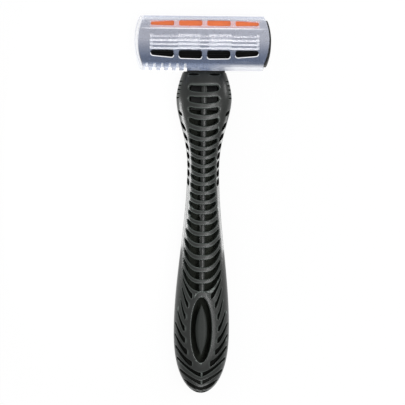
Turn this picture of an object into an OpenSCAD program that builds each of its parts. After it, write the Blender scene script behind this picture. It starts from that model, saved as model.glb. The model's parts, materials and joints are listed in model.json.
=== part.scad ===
// Four-blade cartridge razor with a sprung pivoting head and a slide-off protective cap.
// It lies on its back: +Z is the blade side, +Y runs from the butt to the head, +X is to the right.
// The origin is the middle of the resting pad under the butt.

/* [Handle outline] */
// Length of the handle from the rounded end to the head end
handle_l = 106.5; // [100:0.5:114]
// From the middle of the resting pad to the rounded end
butt_reach = 21; // [19:0.5:23]
// Width of the butt
butt_w = 18.4; // [17:0.2:21]
// Width of the neck at its narrowest
neck_w = 10.6; // [10:0.2:12]
// Width of the shoulder below the head
shoulder_w = 18.4; // [17:0.2:21]
// Width of the handle at the head end
top_w = 14.4; // [14:0.2:16]
// From the head end back to the narrowest neck
neck_from_top = 32.5; // [30:0.5:36]
// From the head end back to the widest shoulder
shoulder_from_top = 8.5; // [8:0.5:10]

/* [Handle side view] */
// Height of the seam between the two shells above the table
seam_z = 6; // [5.8:0.1:6.4]
// Height of the butt in front of the seam
butt_front = 6.2; // [5.6:0.1:7.2]
// Height of the neck in front of the seam
neck_front = 4.2; // [4:0.1:5]
// Height of the shoulder in front of the seam
shoulder_front = 4.8; // [4.5:0.1:5.6]
// Height of the head end in front of the seam
top_front = 3.8; // [3.6:0.1:4.4]
// How far the neck is arched up from the table
neck_lift = 2.2; // [1.4:0.1:2.4]
// How far the head end is raised from the table
top_lift = 1.6; // [1:0.1:1.8]
// Depth that is flattened off the back to make the resting pads
pad_cut = 0.3; // [0.2:0.05:0.5]
// Wall thickness of both shells
wall = 1.6; // [1.4:0.1:1.8]

/* [Grip slots] */
// Rows of open slots between the head end and the oval window
slot_rows = 20; // [18:1:20]
// From the head end to the first row of slots
first_row = 5.2; // [4.9:0.1:5.6]
// Spacing of the rows in the neck
neck_pitch = 2.9; // [2.8:0.05:2.95]
// Spacing of the rows at the shoulder
shoulder_pitch = 3.7; // [3.6:0.05:3.75]
// Spacing of the rows at the butt
butt_pitch = 4.05; // [3.95:0.05:4.1]
// Height of a slot in the neck
neck_slot_h = 1.6; // [1.2:0.05:1.7]
// Height of a slot at the shoulder
shoulder_slot_h = 2; // [1.6:0.05:2.2]
// Height of a slot at the butt
butt_slot_h = 2.4; // [1.8:0.05:2.5]
// Widest reach of a shoulder slot from the centre line
slot_reach = 5; // [4.4:0.1:5.2]
// How far the outer end of a slot is raised in the neck
neck_rise = 1.5; // [1.2:0.1:1.7]
// How far the outer end of a slot is raised at the butt
butt_rise = 5.9; // [5.4:0.1:6.2]
// Solid rail left beside the slots
rail_w = 1.3; // [1.3:0.1:1.7]
// Width of the spine that stands between the two slots of a row
spine_w = 2; // [1.6:0.1:2.2]
// Slanted dashes on each flank of the neck
dash_rows = 7; // [5:1:7]
// Height of a dash
dash_h = 0.65; // [0.5:0.05:0.75]
// Fine notches on each side of the shoulder
notch_count = 6; // [3:1:6]
// Spacing of the fine notches
notch_pitch = 1.38; // [1.3:0.02:1.42]
// Radius of a fine notch
notch_r = 0.5; // [0.4:0.05:0.55]
// Height of the two lens slots at the head end
top_slot_h = 0.8; // [0.6:0.05:0.9]
// Rim left between the lens slots and the head end
top_rim = 0.3; // [0.25:0.05:0.4]
// Depth of the chevron grooves on the butt
groove_d = 1.2; // [0.8:0.05:1.25]
// Rows of chevron grooves on the butt
groove_rows = 10; // [9:1:10]
// Spacing of the chevron grooves
groove_pitch = 3.78; // [3.7:0.02:3.8]
// Height of a chevron groove at its inner end
groove_h = 1.9; // [1.5:0.05:2.1]
// Height of a chevron groove at its tip
groove_tip = 0.25; // [0.2:0.05:0.4]

/* [Oval window] */
// Length of the oval window in the front shell
lens_l = 21.6; // [20.6:0.2:22]
// Width of the oval window
lens_w = 6.9; // [6.5:0.1:7.1]
// Length of the inlay that stands in the window
inlay_l = 17; // [15:0.2:18]
// Width of the inlay
inlay_w = 4.2; // [3.6:0.1:4.6]
// How far the inlay lies below the front of the butt
inlay_drop = 0.35; // [0.2:0.05:0.6]
// Width of the plain border beside the window
border_w = 2.3; // [1.8:0.1:2.5]
// Length of the plain border beyond each end of the window
border_l = 2.6; // [2.2:0.1:2.8]
// Distance of the highest chevron tips from the side of the handle
groove_margin = 1.9; // [1.3:0.1:2.1]

/* [Head] */
// Lean of the blade face towards the head end
head_tilt = 16; // [13:1:19]
// From the head end of the handle to the pivot axis
pivot_from_top = 8.6; // [8.5:0.1:9.4]
// Height of the pivot axis above the table
pivot_z = 9; // [8.8:0.1:9.2]
// How far the head can be pushed back
swing = 38; // [30:1:40]
// From the end of the blades to the end of the cartridge
end_w = 3.9; // [3.6:0.1:4.6]
// From the pivot axis to the guard edge of the cartridge
guard_reach = 8; // [7.9:0.1:8.4]
// From the pivot axis to the strip edge of the cartridge
strip_reach = 7.4; // [7.3:0.1:8]
// Depth of the cartridge from the blade edges to its back
cart_d = 4.2; // [4.1:0.1:4.6]
// From the pivot axis to the back of the cartridge
pivot_gap = 2.4; // [2.3:0.1:2.6]
// Radius of the rounded ends of the cartridge seen from the front
end_r = 20; // [17:1:28]
// Chamfer along the edges of the cartridge
cart_chamfer = 0.7; // [0.5:0.05:0.8]
// Thickness of the cartridge cover
cover_t = 0.9; // [0.8:0.05:1]
// Radius of the pegs under the cover
peg_r = 0.6; // [0.5:0.05:0.65]

/* [Blades] */
// Visible length of a blade
blade_l = 36.2; // [35:0.2:37]
// Spacing of the blade edges
blade_pitch = 1.38; // [1.3:0.02:1.4]
// How far the middle of the blade pack lies off the pivot axis towards the guard
pack_off = 0.97; // [0.9:0.01:1]
// Width of a blade strip
blade_w = 0.95; // [0.8:0.05:1]
// Thickness of a blade strip
blade_t = 0.12; // [0.1:0.01:0.15]
// Slope of a blade to the shaving plane
blade_slope = 20; // [18:1:23]
// Thickness of a blade support
support_t = 0.32; // [0.25:0.01:0.36]
// Length of the end tab of a blade support
tab_l = 0.8; // [0.5:0.1:1]
// Width of the lubricating strip
strip_w = 2.6; // [2.2:0.1:2.7]
// Width of the guard
guard_w = 3.8; // [3.4:0.1:3.8]
// Fins on the guard
fin_count = 5; // [4:1:6]

/* [Pivot and return plunger] */
// Width of the yoke over its arms
yoke_w = 13; // [12.6:0.1:13.4]
// Thickness of a yoke arm
arm_t = 2.1; // [1.8:0.1:2.3]
// Radius of the rounded end of a yoke arm
arm_r = 2; // [1.8:0.05:2]
// Radius of a pivot pin
pin_r = 1.2; // [1:0.05:1.3]
// Length of a pivot pin beyond its arm
pin_l = 2.2; // [2:0.1:2.6]
// Width of the tongue that plugs into the handle
tongue_w = 8.8; // [8:0.1:9]
// Length of the tongue
tongue_l = 12.5; // [11.5:0.5:13.5]
// Thickness of the collar that covers the head end of the handle
collar_t = 1.2; // [1:0.1:1.6]
// How far the collar stands in from the outside of the handle
collar_in = 0.3; // [0.2:0.05:0.5]
// Depth of the tongue
tongue_h = 4.6; // [4.4:0.1:4.8]
// Radius of the plunger
plunger_r = 1.6; // [1.4:0.05:1.7]
// Length of the plunger
plunger_l = 9; // [8:0.5:9.5]
// Base circle of the cam that the plunger pushes on
cam_r = 3.2; // [3.1:0.05:3.4]
// Width of the cam
cam_w = 3.4; // [3:0.1:3.8]
// Turns of the return spring
spring_turns = 6; // [5:1:7]
// Wire thickness of the return spring
spring_wire = 0.4; // [0.3:0.02:0.44]

/* [Protective cap] */
// Wall thickness of the cap
cap_wall = 0.9; // [0.8:0.05:1]
// Overhang of the two lips behind the cartridge
cap_lip = 1.9; // [1.6:0.1:2.1]
// How far the middle panel of the face stands proud
cap_crown = 0.5; // [0.3:0.05:0.8]
// How far the open end stops short of the cartridge
cap_short = 0.6; // [0.4:0.1:1]
// Width of the web between two windows
win_web = 1.65; // [1.4:0.05:1.9]
// Height of the windows over the strip
win_strip_h = 2.35; // [2.1:0.05:2.4]
// Height of the windows over the guard
win_guard_h = 3.2; // [2.8:0.1:3.4]
// Ribs on the wall next to the handle
cap_ribs = 6; // [4:1:6]
// Spacing of the ribs
cap_rib_pitch = 2.55; // [2.3:0.05:2.7]
// How far the ribs stand proud
cap_rib_h = 0.35; // [0.25:0.05:0.4]

/* [Fits] */
// Clearance of the cap around the cartridge
cap_gap = 0.3; // [0.25:0.05:0.35]
// Clearance of a pin or plunger in its bore
run_gap = 0.05; // [0.03:0.01:0.08]
// Clearance of a part pushed into its seat
seat_gap = 0.06; // [0.04:0.01:0.1]
// Clearance between parts that pass each other
pass_gap = 0.3; // [0.25:0.05:0.35]

/* [Hidden] */
$fn = 48;
eps = 0.02;
arc_steps = 14;
end_rings = 9;
ring_step = 2.9;
section_power = 2.5;
end_power = 2.3;

top_y = handle_l - butt_reach;
neck_y = top_y - neck_from_top;
shoulder_y = top_y - shoulder_from_top;
socket_y = top_y - tongue_l;
cavity_y = socket_y - 1.6;
pivot_y = top_y + pivot_from_top;

cart_w = blade_l + 2 * end_w;
shave_w = pivot_gap + cart_d;
front_w = shave_w - 0.2;
seat_w = front_w - cover_t;
floor_w = pivot_gap + 0.8;
edge_lo = -pack_off - 1.5 * blade_pitch;
trough_lo = edge_lo - 0.26;
trough_hi = edge_lo + 4.25 * blade_pitch;
guard_mid = trough_lo - 0.35 - guard_w / 2;
strip_mid = strip_reach - 0.4 - strip_w / 2;
crease_hi = strip_mid - strip_w / 2 - 0.7;
crease_lo = trough_lo - 0.3;
leg_lo = floor_w + 0.2;

tongue_z = pivot_z - cam_r;
arm_x = yoke_w / 2;
ear_x = arm_x + pass_gap;
cam_lead = 0.9;
block_l = pivot_from_top - cam_r * (cam_lead + swing * PI / 180) - 0.5;
plunger_tip = pivot_y - cam_r * cam_lead - 0.1;
plunger_back = plunger_tip - plunger_l;
bore_y = socket_y + 1.5;
web_gap = 0.15;
win_l = (blade_l - 3 * win_web - end_w * 0.115) / 4;

function mix(a, b, t) = a + (b - a) * t;
function ease(t) = let (c = min(1, max(0, t))) c * c * (3 - 2 * c);

// A size that runs from the butt through the neck and the shoulder to the head end
function along(butt, neck, shoulder, top, y) =
    y < 0 ? butt :
    y < neck_y ? mix(butt, neck, ease(y / neck_y)) :
    y < shoulder_y ? mix(neck, shoulder, ease(pow((y - neck_y) / (shoulder_y - neck_y), 1.25))) :
    mix(shoulder, top, pow((y - shoulder_y) / (top_y - shoulder_y), 1.6));
function fade(y, inset) =
    y >= 0 ? 1 : sqrt(max(0, 1 - pow(-y / (butt_reach - inset), end_power)));
function half_w(y, inset = 0) =
    (along(butt_w, neck_w, shoulder_w, top_w, y) / 2 - inset) * fade(y, inset);
function front_h(y, inset = 0) =
    (along(butt_front, neck_front, shoulder_front, top_front, y) - inset) * fade(y, inset);
function back_h(y, inset = 0) =
    (along(seam_z + pad_cut, seam_z - neck_lift, seam_z + pad_cut, seam_z - top_lift, y) - inset)
    * fade(y, inset);

// A smooth bar with the section of the handle, over the angles a0 to a1
function power(c) = sign(c) * pow(abs(c), 2 / section_power);
function ring_point(y, a, inset, drop) =
    let (h = sin(a) < 0 ? back_h(y, inset) : front_h(y, inset + drop))
    [half_w(y, inset) * power(cos(a)), y, seam_z + h * power(sin(a))];
function ring_ys(inset, y1) =
    let (n = ceil(y1 / ring_step))
    concat(
        [for (i = [0 : end_rings - 1]) -(butt_reach - inset) * cos(90 * (i + 0.35) / end_rings)],
        [for (i = [0 : n]) y1 * i / n]);

module loft(inset, y1, a0, a1, steps, drop = 0) {
    ys = ring_ys(inset, y1);
    n = a1 - a0 == 360 ? steps : steps + 1;
    m = len(ys);
    points = [for (y = ys) for (i = [0 : n - 1]) ring_point(y, a0 + (a1 - a0) * i / steps, inset, drop)];
    sides = [for (i = [0 : m - 2]) for (j = [0 : n - 1]) for (k = [0, 1])
        let (a = i * n + j, b = i * n + (j + 1) % n)
        k == 0 ? [a, b, b + n] : [a, b + n, a + n]];
    ends = [[for (j = [n - 1 : -1 : 0]) j], [for (j = [0 : n - 1]) (m - 1) * n + j]];
    polyhedron(points, concat(sides, ends), convexity = 8);
}

module cavity() {
    loft(wall, cavity_y, 0, 360, 2 * arc_steps);
}

module socket() {
    translate([-tongue_w / 2 - seat_gap, socket_y - seat_gap, tongue_z - tongue_h / 2 - seat_gap])
        cube([tongue_w + 2 * seat_gap, tongue_l + 1, tongue_h + 2 * seat_gap]);
}

// An oval along Y
module oval_2d(l, w) {
    scale([w / l, 1])
        circle(d = l, $fn = 64);
}

// A lens outline with pointed ends along Y
module lens_2d(l, w) {
    r = (l * l + w * w) / (4 * w);
    intersection() {
        translate([r - w / 2, 0])
            circle(r, $fn = 180);
        translate([w / 2 - r, 0])
            circle(r, $fn = 180);
    }
}

// Rows of slots, closer together in the neck
function row_share(y) = ease(y > neck_y ? (y - neck_y - 4) / 14 : (neck_y - y) / 30);
function row_pitch(y) = mix(neck_pitch, y > neck_y ? shoulder_pitch : butt_pitch, row_share(y));
function row_y(i) = i == 0 ? top_y - first_row : row_y(i - 1) - row_pitch(row_y(i - 1) - neck_pitch / 2);
function row_reach(y) = min(y > neck_y ? slot_reach : butt_w, half_w(y) - rail_w);
function row_h(y) = mix(neck_slot_h, y > neck_y ? shoulder_slot_h : butt_slot_h, row_share(y));
function row_rise(y) =
    y > neck_y ? neck_rise * ease((shoulder_y + shoulder_pitch - y) / (shoulder_y + shoulder_pitch - neck_y)) :
    mix(neck_rise, butt_rise, ease((neck_y * 0.85 - y) / (neck_y * 0.68)));
function row_tip(y) =
    y > neck_y ? mix(0.6, 0.9, ease((y - neck_y) / 24)) : mix(0.6, 0.12, ease((neck_y - y) / 26));

// One curved slot on the +X side, from x0 out to its tip, with the tip raised
module slot_2d(y, x0, x1, rise, h0, h1) {
    n = 7;
    curve = [for (i = [0 : n]) let (t = i / n, x = mix(x0, x1, t))
        [x, y + rise * pow(x / x1, 1.8), mix(h0, h1, pow(t, 1.4)) / 2]];
    polygon(concat(
        [for (p = curve) [p[0], p[1] + p[2]]],
        [for (i = [n : -1 : 0]) [curve[i][0], curve[i][1] - curve[i][2]]]));
}

module both_sides() {
    children();
    mirror([1, 0, 0])
        children();
}

module slot_row(y, x0, z) {
    h = row_h(y);
    translate([0, 0, z])
        linear_extrude(12)
            both_sides()
                slot_2d(y, x0, row_reach(y), row_rise(y), h, h * row_tip(y));
}

// Over the cavity a row opens onto the spine; over the socket it leaves a low spine of its own
module slots() {
    for (i = [0 : slot_rows - 1]) {
        y = row_y(i);
        if (y > cavity_y - shoulder_slot_h) {
            slot_row(y, 0, seam_z + front_h(y) - wall);
            slot_row(y, spine_w / 2, seam_z + 0.8);
        } else {
            slot_row(y, 0, seam_z + 0.8);
        }
    }
}

// Half the width of the border of the oval window at y
function border_half(y) =
    (lens_w / 2 + border_w) * sqrt(max(0, 1 - pow(y / (lens_l / 2 + border_l), 2)));

// One chevron groove on the +X side, rising from the border to its tip
module groove_2d(y, x0, x1, rise) {
    n = 7;
    curve = [for (i = [0 : n]) let (t = i / n)
        [mix(x0, x1, t), y + rise * pow(t, 1.4), mix(groove_h, groove_tip, pow(t, 1.4)) / 2]];
    polygon(concat(
        [for (p = curve) [p[0], p[1] + p[2]]],
        [for (i = [n : -1 : 0]) [curve[i][0], curve[i][1] - curve[i][2]]]));
}

// Chevron grooves on the butt, stopped by the border of the oval window
module grooves() {
    tip0 = row_y(slot_rows - 1) + row_rise(row_y(slot_rows - 1)) - groove_pitch;
    translate([0, 0, seam_z + 0.5])
        linear_extrude(12)
            difference() {
                for (i = [0 : groove_rows - 1]) {
                    tip = tip0 - i * groove_pitch;
                    room = max(0, tip + butt_reach);
                    rise = butt_rise * min(1, pow(room / (3.2 * groove_pitch), 0.65));
                    reach = half_w(tip) - mix(0.35, groove_margin, ease((tip - 2) / 10));
                    both_sides()
                        groove_2d(tip - rise, max(0, border_half(tip - rise) - 0.6), reach, rise);
                }
                oval_2d(lens_l + 2 * border_l, lens_w + 2 * border_w);
            }
}

module flank_dashes() {
    for (i = [0 : dash_rows - 1]) {
        ya = row_y(i + 3);
        yb = mix(ya, row_y(i + 4), i == 0 ? 0.45 : 0.95);
        dx = half_w(ya) - 0.1 - (half_w(yb) - mix(0.6, 1.15, ease((yb - neck_y) / 14)));
        dy = ya - yb;
        both_sides()
            translate([half_w(ya) - 0.1 - dx / 2, (ya + yb) / 2, seam_z + 0.8])
                rotate(-atan2(dx, dy))
                    linear_extrude(12)
                        lens_2d(norm([dx, dy]), dash_h);
    }
}

module shoulder_notches() {
    for (i = [0 : notch_count - 1]) {
        y = shoulder_y + i * notch_pitch;
        both_sides()
            translate([half_w(y) + 0.1, y, -1])
                cylinder(h = 14, r = notch_r, $fn = 24);
    }
}

module handle_front_shell() {
    color([0.24, 0.26, 0.24])
        difference() {
            loft(0, top_y, 0, 180, arc_steps);
            cavity();
            socket();
            slots();
            difference() {
                grooves();
                loft(0.15, lens_l, 0, 180, arc_steps, groove_d);
            }
            flank_dashes();
            shoulder_notches();
            translate([0, 0, seam_z + 0.8])
                linear_extrude(12)
                    oval_2d(lens_l, lens_w);
            both_sides()
                translate([tongue_w * 0.39, top_y - top_rim - top_slot_h / 2, tongue_z])
                    linear_extrude(12)
                        rotate(90)
                            lens_2d(tongue_w * 0.47, top_slot_h);
        }
}

module handle_back_shell() {
    color([0.22, 0.24, 0.22])
        difference() {
            loft(0, top_y, 180, 360, arc_steps);
            cavity();
            socket();
            shoulder_notches();
            translate([-50, -50, -10])
                cube([100, 200, 10]);
            for (i = [3 : slot_rows - 4])
                translate([0, row_y(i), seam_z - back_h(row_y(i)) - wall * 0.56])
                    rotate([0, 90, 0])
                        cylinder(h = 2 * butt_w, r = wall * 0.94, center = true, $fn = 32);
        }
}

module handle_core() {
    ys = [for (i = [0 : 20]) mix(lens_l / 2 + 1, cavity_y - web_gap, i / 20)];
    low_y = -inlay_l / 2;
    color([0.27, 0.29, 0.27]) {
        rotate([90, 0, 90])
            linear_extrude(spine_w, center = true)
                polygon(concat(
                    [for (y = ys) [y, seam_z + front_h(y, wall) - web_gap]],
                    [for (i = [20 : -1 : 0]) [ys[i], seam_z - back_h(ys[i], wall) + web_gap]],
                    [[low_y, seam_z - back_h(low_y, wall) + web_gap],
                    [low_y, seam_z], [ys[0], seam_z]]));
        translate([0, 0, seam_z - 1])
            linear_extrude(2)
                lens_2d(inlay_l, inlay_w);
    }
}

module lens_inlay() {
    color([0.36, 0.39, 0.37])
        intersection() {
            translate([0, 0, seam_z + 1])
                linear_extrude(12)
                    lens_2d(inlay_l, inlay_w);
            loft(inlay_drop, lens_l, 0, 180, arc_steps);
        }
}

// Frames of the head: the origin is the pivot axis, +Y points to the strip, +Z out of the blade face
module at_pivot() {
    translate([0, pivot_y, pivot_z])
        children();
}

module head() {
    at_pivot()
        rotate([-head_tilt, 0, 0])
            children();
}

// A profile in the Y-Z plane drawn out along X
module draw_x(l) {
    rotate([90, 0, 90])
        linear_extrude(l, center = true)
            children();
}

module pivot_yoke() {
    color([0.1, 0.1, 0.11]) {
        difference() {
            union() {
                translate([-tongue_w / 2, socket_y, tongue_z - tongue_h / 2])
                    cube([tongue_w, tongue_l + block_l, tongue_h]);
                translate([0, top_y + seat_gap + collar_t, 0])
                    rotate([90, 0, 0])
                        linear_extrude(collar_t)
                            polygon([for (a = [0 : 7.5 : 352.5])
                                let (p = ring_point(top_y, a, collar_in, 0)) [p[0], p[2]]]);
                translate([-arm_x, top_y + seat_gap, tongue_z - tongue_h / 2])
                    cube([yoke_w, block_l - seat_gap, tongue_h / 2 + cam_r + 0.6]);
            }
            translate([0, bore_y, tongue_z])
                rotate([-90, 0, 0])
                    cylinder(h = tongue_l + block_l, r = plunger_r + run_gap);
        }
        both_sides() {
            difference() {
                translate([arm_x - arm_t, top_y + block_l - eps, pivot_z - arm_r + 0.4])
                    cube([arm_t, pivot_from_top - block_l + eps, arm_r]);
                at_pivot()
                    rotate([0, 90, 0])
                        cylinder(h = arm_x, r = arm_r - 0.1);
            }
            at_pivot()
                translate([arm_x - arm_t, 0, 0])
                    rotate([0, 90, 0])
                        cylinder(h = arm_t, r = arm_r);
            at_pivot()
                translate([arm_x - arm_t / 2, 0, 0])
                    rotate([0, 90, 0])
                        cylinder(h = arm_t / 2 + pin_l, r = pin_r);
            head()
                translate([arm_x - arm_t, -4.4, -1])
                    cube([arm_t, 1.2, pivot_gap + 1 - 0.1]);
        }
    }
}

module head_plunger() {
    color([0.75, 0.76, 0.78])
        translate([0, plunger_back, tongue_z])
            rotate([-90, 0, 0])
                cylinder(h = plunger_l, r = plunger_r);
}

// One unbroken wire from the blind end of the bore to the plunger
module plunger_spring() {
    sides = 6;
    per_turn = 8;
    rings = spring_turns * per_turn;
    coil_r = plunger_r - spring_wire / 2 - 0.1;
    y0 = bore_y + spring_wire / 2 + eps;
    y1 = plunger_back - spring_wire / 2 - eps;
    points = [for (i = [0 : rings]) for (j = [0 : sides - 1])
        let (a = 360 * i / per_turn, b = 360 * j / sides, r = coil_r + spring_wire / 2 * cos(b))
        [r * cos(a), mix(y0, y1, i / rings) + spring_wire / 2 * sin(b), tongue_z + r * sin(a)]];
    walls = [for (i = [0 : rings - 1]) for (j = [0 : sides - 1]) for (k = [0, 1])
        let (a = i * sides + j, b = i * sides + (j + 1) % sides)
        k == 0 ? [a, b + sides, b] : [a, a + sides, b + sides]];
    ends = [[for (j = [0 : sides - 1]) j], [for (j = [sides - 1 : -1 : 0]) rings * sides + j]];
    echo(spring_gap = (y1 - y0) / spring_turns - spring_wire);
    color([0.7, 0.71, 0.73])
        polyhedron(points, concat(walls, ends), convexity = 6);
}

// Outline of the cartridge from the front, with rounded ends, grown by o and cut short at +X by s
module cart_plan(o, s) {
    intersection() {
        translate([-cart_w, -guard_reach - o])
            square([2 * cart_w, guard_reach + strip_reach + 2 * o]);
        union() {
            translate([end_r - cart_w / 2, 0])
                circle(end_r + o, $fn = 180);
            translate([cart_w / 2 - end_r, 0])
                circle(end_r - s, $fn = 180);
        }
    }
}

// Outline of the cartridge from the side, grown by o, with the middle of the face raised by k
function cart_side(o, k) =
    let (c = cart_chamfer + 0.586 * o, v0 = -guard_reach - o, v1 = strip_reach + o,
        w0 = pivot_gap - o, w1 = front_w + o)
    [[v0, w0 + c], [v0 + c, w0], [v1 - c, w0], [v1, w0 + c], [v1, w1 - c], [v1 - c, w1],
    [crease_hi, w1 + k], [crease_lo, w1 + k], [v0 + c, w1], [v0, w1 - c]];

module cart_body(w0, w1) {
    intersection() {
        draw_x(cart_w + 2)
            polygon(cart_side(0, 0));
        translate([0, 0, w0])
            linear_extrude(w1 - w0)
                cart_plan(0, 0);
    }
}

function cam_point(t) =
    let (lead = cam_r * (cam_lead + t * PI / 180))
    [cam_r * sin(t) - lead * cos(t), -cam_r * cos(t) - lead * sin(t)];

function pegs() = [for (x = [-1, 1]) for (y = [strip_mid, guard_mid]) [x * (blade_l + end_w) / 2, y]];

module cartridge_base() {
    trough_l = blade_l + 0.4;
    bay = ear_x + 2.3;
    color([0.09, 0.09, 0.1]) {
        head() {
            difference() {
                union() {
                    cart_body(pivot_gap, seat_w);
                    both_sides()
                        translate([ear_x, 0, 0]) {
                            rotate([0, 90, 0])
                                cylinder(h = pin_l - pass_gap, r = pivot_gap - 0.2);
                            translate([0, 0.2 - pivot_gap, 0])
                                cube([pin_l - pass_gap, 2 * pivot_gap - 0.4, pivot_gap + eps]);
                        }
                    translate([-cam_w / 2, -1.8, 0])
                        cube([cam_w, 3.6, pivot_gap + eps]);
                }
                translate([-trough_l / 2, trough_lo, floor_w])
                    cube([trough_l, trough_hi - trough_lo, cart_d]);
                translate([-blade_l / 2 - seat_gap, guard_mid - guard_w / 2 - seat_gap, seat_w - 1])
                    cube([blade_l + 2 * seat_gap, guard_w + 2 * seat_gap, 3]);
                both_sides() {
                    for (i = [0 : 2])
                        translate([0, edge_v(i) + blade_pitch * 0.69, 0]) {
                            translate([bay, 0, 0])
                                cube([blade_l / 2 - bay - 0.4, blade_pitch * 0.48, cart_d]);
                            translate([cam_w / 2 + 0.5, 0, 0])
                                cube([ear_x - cam_w / 2 - 0.8, blade_pitch * 0.48, cart_d]);
                        }
                    translate([ear_x - 0.5, 0, 0])
                        rotate([0, 90, 0])
                            cylinder(h = pin_l + 1, r = pin_r + run_gap);
                }
                for (i = [0 : 3])
                    translate([-blade_l / 2 - tab_l - seat_gap, leg_v(i) - seat_gap, leg_lo - seat_gap])
                        cube([blade_l + 2 * tab_l + 2 * seat_gap, support_t + 2 * seat_gap, cart_d]);
                for (p = pegs())
                    translate([p[0], p[1], seat_w - 1.5])
                        cylinder(h = 3, r = peg_r + run_gap);
            }
        }
        at_pivot() {
            draw_x(cam_w)
                polygon(concat(
                    [[-cam_r / 2, 0]],
                    [for (i = [0 : 12]) cam_point(mix(-4, swing + 4, i / 12))],
                    [[cam_r * 0.16, -cam_r * 1.625], [cam_r / 2, 0]]));
            rotate([0, 90, 0])
                cylinder(h = cam_w, r = pivot_gap * 0.75, center = true);
        }
    }
}

module cartridge_cover() {
    open_l = blade_l + 0.3;
    color([0.1, 0.1, 0.11])
        head() {
            difference() {
                cart_body(seat_w, front_w);
                translate([-open_l / 2, -guard_reach - 1, seat_w - 1])
                    cube([open_l, guard_reach + 1 + trough_hi + 0.15, cart_d]);
                translate([-blade_l / 2 - seat_gap, strip_mid - strip_w / 2 - seat_gap, seat_w + 0.4])
                    cube([blade_l + 2 * seat_gap, strip_w + 2 * seat_gap, cart_d]);
            }
            for (p = pegs())
                translate([p[0], p[1], seat_w - 1.3])
                    cylinder(h = 1.3 + eps, r = peg_r);
        }
}

// Blade i of 0 to 3 counts from the guard; s runs down its slope from the edge
function edge_v(i) = edge_lo + i * blade_pitch;
function on_blade(i, s, d) =
    [edge_v(i) + s * cos(blade_slope) - d * sin(blade_slope),
    shave_w - s * sin(blade_slope) - d * cos(blade_slope)];
function flange_l() = blade_pitch * 1.12;
function leg_v(i) = on_blade(i, flange_l(), blade_t)[0] - support_t;

module blade(i) {
    color([0.86, 0.87, 0.89])
        head()
            draw_x(blade_l)
                polygon([on_blade(i, 0, 0), on_blade(i, blade_w, 0), on_blade(i, blade_w, blade_t),
                    on_blade(i, 0.3, blade_t)]);
}

module blade_1() {
    blade(0);
}

module blade_2() {
    blade(1);
}

module blade_3() {
    blade(2);
}

module blade_4() {
    blade(3);
}

// Bent steel support under a blade, with three rinse slots and a tab at each end
module blade_support(i) {
    bend = on_blade(i, flange_l(), blade_t);
    color([0.72, 0.73, 0.75])
        head()
            difference() {
                union() {
                    draw_x(blade_l)
                        polygon([on_blade(i, 0.3, blade_t), bend,
                            [bend[0], leg_lo], [bend[0] - support_t, leg_lo],
                            [bend[0] - support_t, bend[1] - support_t],
                            on_blade(i, 0.3, blade_t + support_t)]);
                    translate([-blade_l / 2 - tab_l, bend[0] - support_t, leg_lo])
                        cube([blade_l + 2 * tab_l, support_t, seat_w - 0.1 - leg_lo]);
                }
                for (x = [-1, 0, 1])
                    translate([x * blade_l * 0.36, on_blade(i, blade_w + 0.1, 0)[0], shave_w - 1.6])
                        translate([(x == 0 ? -0.04 : -0.115) * blade_l, 0, 0])
                            cube([(x == 0 ? 0.08 : 0.23) * blade_l, 0.36, 3]);
            }
}

module blade_support_1() {
    blade_support(0);
}

module blade_support_2() {
    blade_support(1);
}

module blade_support_3() {
    blade_support(2);
}

module blade_support_4() {
    blade_support(3);
}

module lubricating_strip() {
    rise = 0.12;
    r = (strip_w * strip_w / 4 + rise * rise) / (2 * rise);
    color([0.91, 0.45, 0.24])
        head()
            translate([0, strip_mid, 0])
                intersection() {
                    translate([-blade_l / 2, -strip_w / 2, seat_w + 0.4])
                        cube([blade_l, strip_w, 2]);
                    translate([0, 0, front_w + rise - r])
                        rotate([0, 90, 0])
                            cylinder(h = cart_w, r = r, center = true, $fn = 180);
                }
}

module guard_strip() {
    pitch = guard_w / fin_count;
    fin_h = 0.55;
    color([0.06, 0.06, 0.065])
        head()
            translate([0, guard_mid - guard_w / 2, 0])
                draw_x(blade_l)
                    polygon(concat(
                        [[0, seat_w - 1], [0, front_w - fin_h]],
                        [for (i = [0 : fin_count - 1]) each [
                            [(i + 0.2) * pitch, front_w - fin_h],
                            [(i + 0.36) * pitch, front_w],
                            [(i + 0.64) * pitch, front_w],
                            [(i + 0.8) * pitch, front_w - fin_h]]],
                        [[guard_w, front_w - fin_h], [guard_w, seat_w - 1]]));
}

// A four-cornered outline with rounded corners
function soft(p, r) = [for (i = [0 : 3]) for (k = [0 : 4])
    let (a = p[(i + 3) % 4], b = p[(i + 1) % 4], c = p[i], t = k / 4,
        q0 = c + (a - c) * r / norm(a - c), q1 = c + (b - c) * r / norm(b - c))
    q0 * (1 - t) * (1 - t) + c * 2 * t * (1 - t) + q1 * t * t];

module cap_windows() {
    x0 = win_web / 2;
    x1 = x0 + win_l;
    x2 = x1 + win_web;
    x3 = x2 + win_l;
    s0 = strip_mid + strip_w / 2 - win_strip_h;
    s1 = s0 + win_strip_h;
    g1 = crease_lo;
    g0 = g1 - win_guard_h;
    translate([0, 0, front_w + 0.05])
        linear_extrude(cap_wall + 2)
            both_sides() {
                polygon(soft([[x0, s0], [x1, s0], [x1, s1 - 0.2], [x0, s1]], 0.6));
                polygon(soft([[x2, s0], [x3, s0 + 0.15], [x3, s1 - 0.8], [x2, s1 - 0.3]], 0.6));
                polygon(soft([[x0, g0], [x1, g0 + 0.15], [x1, g1], [x0, g1]], 1));
                polygon(soft([[x2, g0 + 0.4], [x3, g0 + 1.1], [x3, g1], [x2, g1]], 1));
            }
}

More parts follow.
